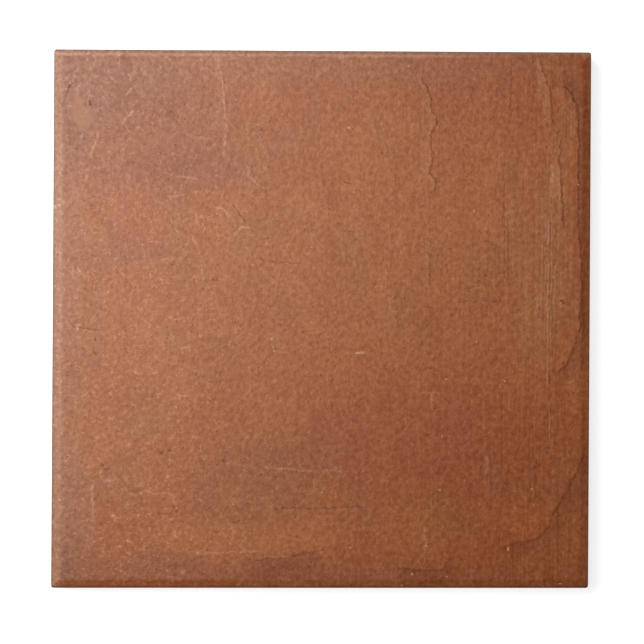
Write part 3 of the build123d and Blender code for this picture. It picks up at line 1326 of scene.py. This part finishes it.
@dataclass
class Skin:
    """Builds the closed skin of the slab: a fine net over the face and its rim, and a plain keyed back."""

    form: TileForm
    spacing: float
    wall_levels: tuple[float, ...] = (15.4 * MM, 12.6 * MM, 9.8 * MM, 7.0 * MM, 4.2 * MM)
    row_step: int = 12

    def __post_init__(self) -> None:
        """Lay out the net of the face and the coarser rows of the back."""
        form = self.form
        self.shell = Shell()
        across = form.stations(form.width, self.spacing) - form.width / 2
        along = form.stations(form.length, self.spacing)
        x, s = np.meshgrid(across, along, indexing="ij")
        inset = np.minimum(form.width / 2 - np.abs(x), np.minimum(s, form.length - s))
        level = form.thickness - form.drop(inset)
        self.net: Net = np.stack([*self.rounded(x, s), level], axis=-1).tolist()
        self.turn = form.rim_stations().index(form.corner_radius)
        end = len(along) - 1 - self.turn
        self.rows = [*range(self.turn, end - self.row_step // 2, self.row_step), end]
        self.shares = [0.0, *(along[row] / form.length for row in self.rows), 1.0]

    def rounded(self, x: np.ndarray, s: np.ndarray) -> tuple[np.ndarray, np.ndarray]:
        """Find points of the outline's net.

        Args:
            x: The places across.
            s: The distances from the skewed cut, of the nominal length.

        Returns:
            X and Y, with the upright corners rounded.
        """
        form, radius = self.form, self.form.corner_radius
        in_x, in_s = form.width / 2 - np.abs(x), np.minimum(s, form.length - s)
        a, b = np.clip(1 - in_x / radius, 0, 1), np.clip(1 - in_s / radius, 0, 1)
        corner = (in_x < radius) & (in_s < radius)
        in_x = np.where(corner, radius * (1 - a * np.sqrt(1 - b * b / 2)), in_x)
        in_s = np.where(corner, radius * (1 - b * np.sqrt(1 - a * a / 2)), in_s)
        x = np.sign(x) * (form.width / 2 - in_x)
        return x, form.between_cuts(x, np.where(s > form.length / 2, form.length - in_s, in_s) / form.length)

    def mesh(self) -> bpy.types.Mesh:
        """Build all faces of the skin.

        Returns:
            The closed mesh.
        """
        for line, beyond in zip(self.net, self.net[1:]):
            for quad in zip(line, beyond, beyond[1:], line[1:]):
                self.shell.face(*quad)
        self.walls()
        self.corners()
        self.long_sides()
        self.back()
        return self.shell.mesh("tile_body")

    def low(self, point: Point) -> Point:
        """Give a point moved down to the foot of the wall."""
        return (point[0], point[1], self.wall_levels[-1])

    def heel(self, point: Point) -> Point:
        """Give the foot of the wall at a point, which the heel cuts off near a long side."""
        inset = self.form.width / 2 - abs(point[0])
        return (point[0], point[1], max(0.0, self.form.heel_bevel - inset))

    def carried(self, x: float, side_point: Point) -> Point:
        """Carry a row's place from a long side to another place across, on the back."""
        foot = self.form.skewed_end(side_point[0])
        return self.under(x, 0.0, (side_point[1] - foot) / (self.form.square_end - foot))

    def under(self, x: float, z: float, share: float) -> Point:
        """Give a point of the back at a share of the tile's length."""
        return (x, self.form.between_cuts(x, share), z)

    def walls(self) -> None:
        """Build the four walls down to their lowest level."""
        net = self.net
        ring = [line[0] for line in net[:-1]] + net[-1][:-1]
        ring += [line[-1] for line in net[:0:-1]] + net[0][:0:-1]
        for here, ahead in zip(ring, ring[1:] + ring[:1]):
            pairs = [(here, ahead), *(((*here[:2], z), (*ahead[:2], z)) for z in self.wall_levels)]
            for upper, lower in zip(pairs, pairs[1:]):
                self.shell.face(*upper, *reversed(lower))

    def corners(self) -> None:
        """Build the foot of each rounded corner and the end of the heel beside it."""
        for lines in (self.net, self.net[::-1]):
            for corner in (lines, [line[::-1] for line in lines]):
                arc = corner[0][self.turn:0:-1] + [line[0] for line in corner[:self.turn + 1]]
                for here, ahead in zip(arc, arc[1:]):
                    self.shell.face(self.low(here), self.low(ahead), self.heel(ahead), self.heel(here))
                self.shell.face(*[self.heel(point) for point in arc], self.carried(arc[-1][0], arc[0]))

    def long_sides(self) -> None:
        """Build the foot and the heel of both long sides, where fine rows meet coarse ones."""
        for line in (self.net[0], self.net[-1]):
            inner_x = math.copysign(self.form.width / 2 - self.form.heel_bevel, line[0][0])
            for start, end in zip(self.rows, self.rows[1:]):
                here, ahead = self.heel(line[start]), self.heel(line[end])
                self.shell.face(*[self.low(point) for point in line[start:end + 1]], ahead, here)
                self.shell.face(here, ahead, self.carried(inner_x, ahead), self.carried(inner_x, here))

    def back(self) -> None:
        """Build the keyed back and the feet of both cut ends."""
        form = self.form
        columns = [line[0][0] for line in self.net]
        last = len(columns) - 1 - self.turn
        lands = [(k - (form.groove_count - 2) / 2) * form.groove_pitch for k in range(form.groove_count - 1)]
        inner = [min(range(self.turn, last), key=lambda i: abs(columns[i] - land)) for land in lands]
        splits = [self.turn, *inner, last]
        for number, (start, end) in enumerate(zip(splits, splits[1:])):
            middle = (number - (form.groove_count - 1) / 2) * form.groove_pitch
            groove = [(middle + x, z) for x, z in form.groove_section()]
            section = [(columns[start], 0.0), *groove, (columns[end], 0.0)]
            for share, edge_line in ((0.0, 0), (1.0, -1)):
                upper = [self.low(line[edge_line]) for line in self.net[start:end + 1]]
                self.shell.face(*upper, *(self.under(x, z, share) for x, z in reversed(section)))
            for here, beside in zip(section, section[1:]):
                for near, far in zip(self.shares, self.shares[1:]):
                    self.shell.face(self.under(*here, near), self.under(*beside, near),
                                    self.under(*beside, far), self.under(*here, far))


@dataclass
class Slab:
    """The tile's body: the marked face, the eased rim, the sides and the keyed back, as one closed skin."""

    form: TileForm = field(default_factory=TileForm)
    spacing: float = 1.62 * MM
    drop: float = 0.25 * MM
    swell: float = 0.16 * MM
    streak: float = 0.12 * MM
    side_wave: float = 0.22 * MM
    path_spacing: float = 0.35 * MM
    refined_widths: tuple[float, ...] = (1.0, 0.45)
    refined_margin: float = 0.6 * MM
    side_slope: float = 0.2
    sharp_angle: float = math.radians(38)

    def refine(self, mesh: bpy.types.Mesh) -> None:
        """Divide the face finer along its marks, once for each width.

        Args:
            mesh: The skin.
        """
        tree, widths = self.mark_tree()
        for share in self.refined_widths:
            work = bmesh.new()
            work.from_mesh(mesh)
            edges = set()
            for face in (face for face in work.faces if face.normal.z > self.side_slope):
                centre = face.calc_center_median()
                _, number, gap = tree.find((centre.x, centre.y, 0.0))
                if gap < widths[number] * share + self.refined_margin:
                    edges.update(face.edges)
            bmesh.ops.subdivide_edges(work, edges=list(edges), cuts=1, use_grid_fill=True)
            work.to_mesh(mesh)
            work.free()

    def mark_tree(self) -> tuple[KDTree, list[float]]:
        """Gather close points along all marks.

        Returns:
            The tree of points, and the width beside each that is made finer.
        """
        points, widths = [], []
        for each in MARKS:
            path = [Vector((*self.form.on_face(place), 0.0)) for place in each.path]
            for start, end in zip(path, path[1:]):
                steps = max(1, round((end - start).length / MM))
                points += [start.lerp(end, step / steps) for step in range(steps + 1)]
                widths += [RELIEFS[each.kind].refine] * (steps + 1)
        tree = KDTree(len(points))
        for number, point in enumerate(points):
            tree.insert(point, number)
        tree.balance()
        return tree, widths

    def paths(self, kind: MarkKind) -> bpy.types.Object:
        """Draw the paths of one kind of mark as a curve that stays out of the part.

        Args:
            kind: The kind of mark.

        Returns:
            The curve's object.
        """
        curve = bpy.data.curves.new(kind.value + "_paths", "CURVE")
        curve.dimensions = "3D"
        for each in (each for each in MARKS if each.kind is kind):
            spline = curve.splines.new("BEZIER")
            spline.bezier_points.add(len(each.path) - 1)
            for point, place in zip(spline.bezier_points, each.path):
                point.co = (*self.form.on_face(place), 0.0)
                point.handle_left_type = point.handle_right_type = "AUTO"
                point.radius = each.strength
        return shown(curve.name, curve)

    def build(self, material: bpy.types.Material) -> bpy.types.Object:
        """Build the slab, lay its face and press its marks.

        Args:
            material: The body's finish.

        Returns:
            The finished body.
        """
        mesh = Skin(self.form, self.spacing).mesh()
        self.refine(mesh)
        body = shown("tile_body", mesh)
        lay = {"Drop": self.drop, "Swell": self.swell, "Streak": self.streak, "Side Wave": self.side_wave}
        LayTree(self.form, material).attach(body, lay)
        press = MarkTree(self.form, material)
        curves = {kind: self.paths(kind) for kind in MarkKind}
        for kind, curve in curves.items():
            named = {"Paths": curve, "Name": kind.value, "Spacing": self.path_spacing}
            press.attach(body, {**named, **RELIEFS[kind].pressed()})
        settled(body)
        for curve in curves.values():
            bpy.data.curves.remove(curve.data)
        body.data.shade_smooth()
        body.data.set_sharp_from_angle(angle=self.sharp_angle)
        log.info("%s: %d faces", body.name, len(body.data.polygons))
        return body


@dataclass
class Grog:
    """The pale grains of crushed fired clay that show in the face."""

    form: TileForm = field(default_factory=TileForm)
    density: float = 950.0
    smallest: float = 0.30 * MM
    largest: float = 0.70 * MM
    seed: int = 7
    half_size: float = 0.70 * MM
    tallest: float = 0.8 * MM
    flatness: float = 0.45

    def build(self, face: bpy.types.Object, material: bpy.types.Material) -> bpy.types.Object:
        """Bed the grains in the face.

        Args:
            face: The body whose face they lie in.
            material: The grog's finish.

        Returns:
            All grains as one piece.
        """
        solid = face.evaluated_get(bpy.context.evaluated_depsgraph_get())
        starts = [Vector((*self.form.on_face((grain.across, grain.down)), 1.0)) for grain in GRAINS]
        points = [tuple(solid.ray_cast(start, Vector((0.0, 0.0, -1.0)))[1]) for start in starts]
        seats = bpy.data.meshes.new("grog")
        seats.from_pydata(points, [], [])
        extent = seats.attributes.new("extent", "FLOAT_VECTOR", "POINT")
        for value, grain in zip(extent.data, GRAINS):
            half_long, half_broad = (self.half_size * size for size in (grain.long, grain.broad))
            value.vector = (half_long, half_broad, min(half_long, half_broad, self.tallest) * self.flatness)
        piece = shown("grog", seats)
        GrainTree(material).attach(piece, {
            "Face": face, "Density": self.density, "Smallest": self.smallest, "Largest": self.largest,
            "Seed": self.seed,
        })
        log.info("%s: %d faces", piece.name, len(settled(piece).data.polygons))
        return piece


@dataclass(frozen=True)
class Studio:
    """The white floor, the softbox at the upper left, the dim room and the camera over the tile."""

    form: TileForm = field(default_factory=TileForm)
    lamp_place: Point = (-0.325, 0.188, 0.628)
    lamp_side: float = 0.66
    lamp_power: float = 6.5
    room_light: float = 0.08
    floor_side: float = 6.0
    floor_tone: tuple[float, float, float, float] = (0.8, 0.8, 0.8, 1.0)
    floor_roughness: float = 0.9
    floor_glow: float = 0.78
    glow_margin: float = 2 * MM
    camera_place: Point = (0.00052, -0.00105, 1.3664)
    camera_roll: float = math.radians(0.34)
    lens: float = 135.0
    sensor: float = 36.0
    sight: float = 50.0

    def camera(self) -> None:
        """Hang the camera straight over the tile."""
        data = bpy.data.cameras.new("camera")
        data.lens = self.lens
        data.sensor_width = self.sensor
        data.clip_end = self.sight
        camera = shown("camera", data)
        camera.location = self.camera_place
        camera.rotation_euler = (0.0, 0.0, self.camera_roll)
        bpy.context.scene.camera = camera

    def softbox(self) -> None:
        """Hang the softbox, aimed at the tile's middle."""
        data = bpy.data.lights.new("softbox", "AREA")
        data.shape = "SQUARE"
        data.size = self.lamp_side
        data.energy = self.lamp_power
        lamp = shown("softbox", data)
        lamp.location = self.lamp_place
        aim = Vector((0.0, 0.0, self.form.thickness)) - Vector(self.lamp_place)
        lamp.rotation_euler = aim.to_track_quat("-Z", "Y").to_euler()
        lamp.visible_camera = False

    def seen(self, bench: Bench) -> tuple[Wire, Part]:
        """Give 1 for the camera's rays, also through glass, and the node that tells of the rays."""
        path = bench.node("ShaderNodeLightPath")
        return bench.math("MAXIMUM", path.out("Is Camera Ray"), path.out("Is Transmission Ray")), path

    def room(self) -> None:
        """Light the room dimly, and show it white to the camera."""
        world = bpy.data.worlds.new("room")
        world.use_nodes = True
        world.node_tree.nodes.clear()
        bench = Bench(world.node_tree)
        strength = self.seen(bench)[0] * (1 - self.room_light) + self.room_light
        ground = bench.node("ShaderNodeBackground", {}, {"Color": (1.0,) * 4, "Strength": strength}).out()
        bench.node("ShaderNodeOutputWorld", {}, {"Surface": ground})
        bpy.context.scene.world = world

    def floor_finish(self) -> bpy.types.Material:
        """Make the floor glow white to the camera, but not under the tile, where it stays dark.

        Returns:
            The floor's material.
        """
        bench = MaterialBench("white_floor")
        seen, path = self.seen(bench)
        sides = bench.split(bench.place)[:2]
        middle = bench.math("MAXIMUM", *(bench.math("ABSOLUTE", side) for side in sides))
        bare = bench.ease(middle, self.form.width / 2 - self.glow_margin, self.form.width / 2)
        glow = bench.math("MAXIMUM", seen, path.out("Is Glossy Ray")) * bare
        bench.shaded({
            "Base Color": self.floor_tone, "Roughness": self.floor_roughness, "Specular IOR Level": 0.0,
            "Emission Color": bench.joined(glow, glow, glow), "Emission Strength": self.floor_glow,
        })
        return bench.material

    def build(self) -> bpy.types.Object:
        """Set up the camera, the lights and the white floor, which keeps the tile's shadow.

        Returns:
            The floor, which is no part of the object.
        """
        self.camera()
        self.softbox()
        self.room()
        half = self.floor_side / 2
        mesh = bpy.data.meshes.new("floor")
        corners = [(-half, -half, 0.0), (half, -half, 0.0), (half, half, 0.0), (-half, half, 0.0)]
        mesh.from_pydata(corners, [], [(0, 1, 2, 3)])
        mesh.materials.append(self.floor_finish())
        return shown("floor", mesh)


def main() -> None:
    """Build the tile and its studio."""
    logging.basicConfig(level=logging.INFO, format="%(message)s")
    bpy.context.scene.view_settings.view_transform = "Standard"
    form = TileForm()
    body = Slab(form).build(FiredClay(form).material())
    grains = Grog(form).build(body, GrogFinish().material())
    for piece in (body, grains):
        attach(piece, "root")
    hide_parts("tile")
    Studio(form).build()


if __name__ == "__main__":
    main()
